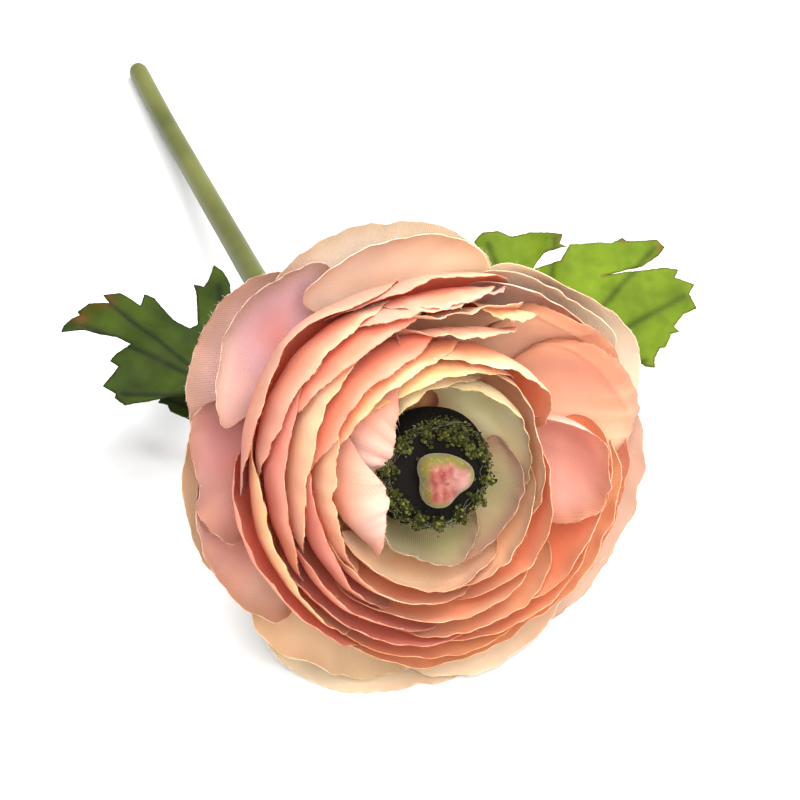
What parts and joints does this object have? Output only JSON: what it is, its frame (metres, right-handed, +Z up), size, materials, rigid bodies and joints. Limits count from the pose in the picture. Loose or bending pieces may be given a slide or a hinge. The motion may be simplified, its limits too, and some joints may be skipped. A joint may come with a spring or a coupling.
{
  "type": "artificial ranunculus flower",
  "caption": "Single artificial ranunculus bloom of layered fabric petals round a dark eye, on a cut moulded stem with leaves, lying on a surface.",
  "frame": {"origin": "on the table, in the middle of the flat spot that the bloom rests on", "axes": "+Z up from the table; +Y from the bloom along the stem to its cut end; the face looks towards -Y and up"},
  "size_m": [0.1128, 0.2023, 0.0728],
  "materials": {
    "stem_plastic": "olive green moulded plastic with a soft satin surface",
    "calyx_plastic": "leaf green moulded plastic",
    "petal_guard_fabric": "woven polyester, dyed dusty rose to peach with a cream frayed edge",
    "petal_middle_fabric": "woven polyester, dyed coral and apricot, deeper orange at the foot",
    "petal_inner_fabric": "woven polyester, dyed peach to butter cream",
    "petal_heart_fabric": "woven polyester, dyed cream to celery green with a blush edge",
    "eye_flock": "black flocked core",
    "stamen_moss": "mossy olive green flocked stamens",
    "knob_flock": "pink knob with a green edge, lightly flocked",
    "leaf_dark_fabric": "printed dark green fabric with rusty tips",
    "leaf_light_fabric": "printed light green fabric with fine veins"
  },
  "bodies": {
    "root": {"stem": "stem_plastic", "calyx": "calyx_plastic", "petal_round_01": "petal_guard_fabric", "petal_round_02": "petal_guard_fabric", "petal_round_03": "petal_middle_fabric", "petal_round_04": "petal_middle_fabric", "petal_round_05": "petal_middle_fabric", "petal_round_06": "petal_inner_fabric", "petal_round_07": "petal_inner_fabric", "petal_round_08": "petal_inner_fabric", "petal_round_09": "petal_heart_fabric", "petal_round_10": "petal_heart_fabric", "eye": "eye_flock", "stamens": "stamen_moss", "knob": "knob_flock", "leaf_left": "leaf_dark_fabric", "leaf_right": "leaf_light_fabric", "leaf_small": "leaf_dark_fabric"}
  },
  "joints": []
}
